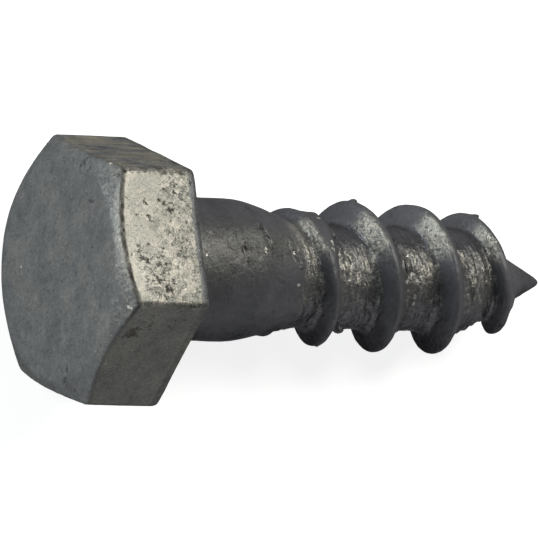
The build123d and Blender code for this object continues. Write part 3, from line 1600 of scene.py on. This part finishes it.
@dataclass
class LagScrew:
    """The whole screw, forged and rolled from one blank, then dipped."""

    lie: Lie
    head: HexHead = field(default_factory=HexHead)
    blank: Blank = field(default_factory=Blank)
    finish: DippedZinc = field(default_factory=DippedZinc)
    voxel: float = 0.08
    smoothing: float = 0.5
    smoothing_rounds: int = 5
    most_triangles: int = 190_000
    blemishes: tuple[Blemish, ...] = (
        Blemish(Shape.LUMP, 7.5, 188, 3.12, (0.45, 0.5, 0.22)),
        Blemish(Shape.LUMP, 10.7, 186, 3.66, (0.15, 0.22, 0.22)),
        Blemish(Shape.LUMP, 11.75, 176, 2.95, (0.25, 0.3, 0.25)),
        Blemish(Shape.LUMP, 19.75, 192, 2.62, (0.22, 0.25, 0.25)),
        Blemish(Shape.LUMP, 19.85, 178, 2.62, (0.2, 0.28, 0.25)),
        Blemish(Shape.LUMP, 20.0, 167, 2.6, (0.2, 0.2, 0.25)),
        Blemish(Shape.LUMP, 20.3, 157, 2.55, (0.25, 0.2, 0.25)),
        Blemish(Shape.LUMP, 20.6, 24, 3.5, (0.34, 0.14, 0.15), 20),
        Blemish(Shape.LUMP, 12.97, 21, 4.05, (0.24, 0.22, 0.2)),
        Blemish(Shape.LUMP, 15.0, 92, 2.75, (0.3, 0.35, 0.22)),
        Blemish(Shape.LUMP, 15.6, 112, 2.7, (0.2, 0.25, 0.2)),
        Blemish(Shape.PIT, 15.25, 100, 3.0, (0.32, 0.28, 0.3)),
        Blemish(Shape.PIT, 19.1, 34, 3.0, (0.16, 0.6, 0.25), 12),
        Blemish(Shape.LUMP, 23.25, 60, 0.62, (0.5, 0.3, 0.12)),
    )

    def build(self) -> bpy.types.Object:
        """Model, dip and lay down the screw.

        Returns:
            The finished screw, in the row's frame.
        """
        thread = LagThread(self.blank)
        parts = [self.head.build(), self.blank.build(), thread.build()]
        parts += [b.build() for b in self.blemishes if b.shape is Shape.LUMP]
        screw = join(parts, "galvanised_lag_screw")
        apply_modifier(screw, "REMESH", mode="VOXEL", voxel_size=self.voxel)
        pits = join([b.build() for b in self.blemishes if b.shape is Shape.PIT], "pits")
        apply_modifier(screw, "BOOLEAN", operation="DIFFERENCE", object=pits, solver="EXACT")
        bpy.data.objects.remove(pits)
        apply_modifier(screw, "REMESH", mode="VOXEL", voxel_size=self.voxel)
        apply_modifier(screw, "SMOOTH", factor=self.smoothing, iterations=self.smoothing_rounds)
        DippedSkin(thread).lay(screw)
        triangles = sum(len(face.vertices) - 2 for face in screw.data.polygons)
        if triangles > self.most_triangles:
            apply_modifier(screw, "DECIMATE", ratio=self.most_triangles / triangles)
        screw.data.transform(self.lie.matrix())
        screw.data.update()
        activate(screw)
        bpy.ops.object.shade_smooth()
        screw.data.materials.clear()
        screw.data.materials.append(self.finish.material(self.lie, self.head, thread))
        return screw


# ---- Studio ----


@dataclass(frozen=True)
class Softbox:
    """A square area light that faces the screw."""

    name: str
    towards: Triple
    distance: float
    size: float
    radiance: float
    tint: Triple = (1.0, 1.0, 1.0)

    def build(self, aim: Vector) -> bpy.types.Object:
        """Place the light in its direction from aim.

        Args:
            aim: The place that the light faces.

        Returns:
            The lamp.
        """
        light = bpy.data.lights.new(self.name, "AREA")
        light.shape = "SQUARE"
        light.size = self.size
        light.energy = self.radiance * math.pi * self.size**2
        light.color = self.tint
        lamp = bpy.data.objects.new(self.name, light)
        bpy.context.scene.collection.objects.link(lamp)
        back = Vector(self.towards).normalized()
        lamp.location = aim + back * self.distance
        lamp.rotation_euler = back.to_track_quat("Z", "Y").to_euler()
        return lamp


@dataclass
class Studio:
    """Pale floor, soft lights, plain surround and the camera."""

    lie: Lie
    lens: float = 800.0
    aim_along: float = 8.334
    aim_up: float = -0.335
    aim_across: float = 0.374
    distance: float = 642.27
    azimuth: float = -148.18
    elevation: float = 62.34
    roll: float = 54.22
    floor_size: float = 6.0
    floor_gap: float = 0.02
    floor_grey: float = 0.4
    floor_glow: float = 0.84
    surround: float = 0.1
    horizon: tuple[float, float] = (0.12, 0.04)
    surround_tint: Triple = (0.88, 0.95, 1.12)
    lights: tuple[Softbox, ...] = (
        Softbox("key", (0.51, 0.29, 0.81), 0.9, 0.5, 10.2, (1.0, 0.985, 0.9)),
        Softbox("side", (-0.9, 0.32, 0.29), 0.9, 0.5, 10.2, (0.94, 1.0, 0.995)),
        Softbox("point_end", (0.99, -0.05, 0.12), 0.9, 0.5, 0.7),
    )

    def build(self) -> None:
        """Build the studio round the finished screw."""
        scene = bpy.context.scene
        scene.view_settings.view_transform = "Standard"
        aim = self.lie.point(self.aim_along, self.aim_up, self.aim_across)
        for softbox in self.lights:
            softbox.build(aim)
        self._surround()
        self._floor()
        self._camera(aim)

    def _surround(self) -> None:
        """A dim studio, pale along the horizon."""
        world = bpy.data.worlds.new("studio")
        bpy.context.scene.world = world
        g = Graph(world)
        direction = g.node("TexCoord", output="Generated")
        rise = g.node("SeparateXYZ", inputs={"Vector": direction}, output="Z")
        strength = g.step(rise, *self.horizon) * (1 - self.surround) + self.surround
        background = g.node(
            "Background", inputs={"Color": rgba(self.surround_tint), "Strength": strength}
        )
        g.node("OutputWorld", inputs={"Surface": background})

    def _floor(self) -> None:
        """A plain white floor at the lowest point of the screw."""
        low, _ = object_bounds()
        deselect_all()
        bpy.ops.mesh.primitive_plane_add(
            size=self.floor_size, location=(0, 0, low.z - self.floor_gap * MM)
        )
        floor = named("floor")
        material = bpy.data.materials.new("floor_white")
        g = Graph(material)
        rays = ("Is Camera Ray", "Is Glossy Ray", "Is Transmission Ray")
        seen = g.clamp(g.total(g.node("LightPath", output=ray) for ray in rays))
        plain = g.node("BsdfDiffuse", inputs={"Color": grey(self.floor_grey)})
        glow = g.node("Emission", inputs={"Color": grey(1.0), "Strength": self.floor_glow})
        lifted = g.node("AddShader", inputs={0: plain, 1: glow})
        shown = g.node("MixShader", inputs={0: seen, 1: plain, 2: lifted})
        g.node("OutputMaterial", inputs={"Surface": shown})
        floor.data.materials.append(material)
        floor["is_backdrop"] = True

    def _camera(self, aim: Vector) -> None:
        """The camera, looking down at the head end of the screw.

        Args:
            aim: The place that the camera looks at.
        """
        azimuth, elevation = math.radians(self.azimuth), math.radians(self.elevation)
        back = Vector(
            (
                math.cos(azimuth) * math.cos(elevation),
                math.sin(azimuth) * math.cos(elevation),
                math.sin(elevation),
            )
        )
        level = Vector((0, 0, 1)).cross(back).normalized()
        upright = back.cross(level)
        turn = math.radians(self.roll)
        right = level * math.cos(turn) + upright * math.sin(turn)
        camera = bpy.data.cameras.new("camera")
        camera.lens = self.lens
        camera.clip_start, camera.clip_end = 0.05, 10.0
        holder = bpy.data.objects.new("camera", camera)
        bpy.context.scene.collection.objects.link(holder)
        holder.matrix_world = Matrix.Translation(aim + back * self.distance * MM) @ (
            Matrix((right, back.cross(right), back)).transposed().to_4x4()
        )
        bpy.context.scene.camera = holder


def main() -> None:
    """Build the screw and the studio, and log the screw's face count."""
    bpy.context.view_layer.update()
    lie = Lie.from_record(frame["record"])
    screw = LagScrew(lie).build()
    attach(screw, "root")
    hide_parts("lag_screw")
    log.info("%s: %d faces", screw.name, len(screw.data.polygons))
    Studio(lie).build()


if __name__ == "__main__":
    main()
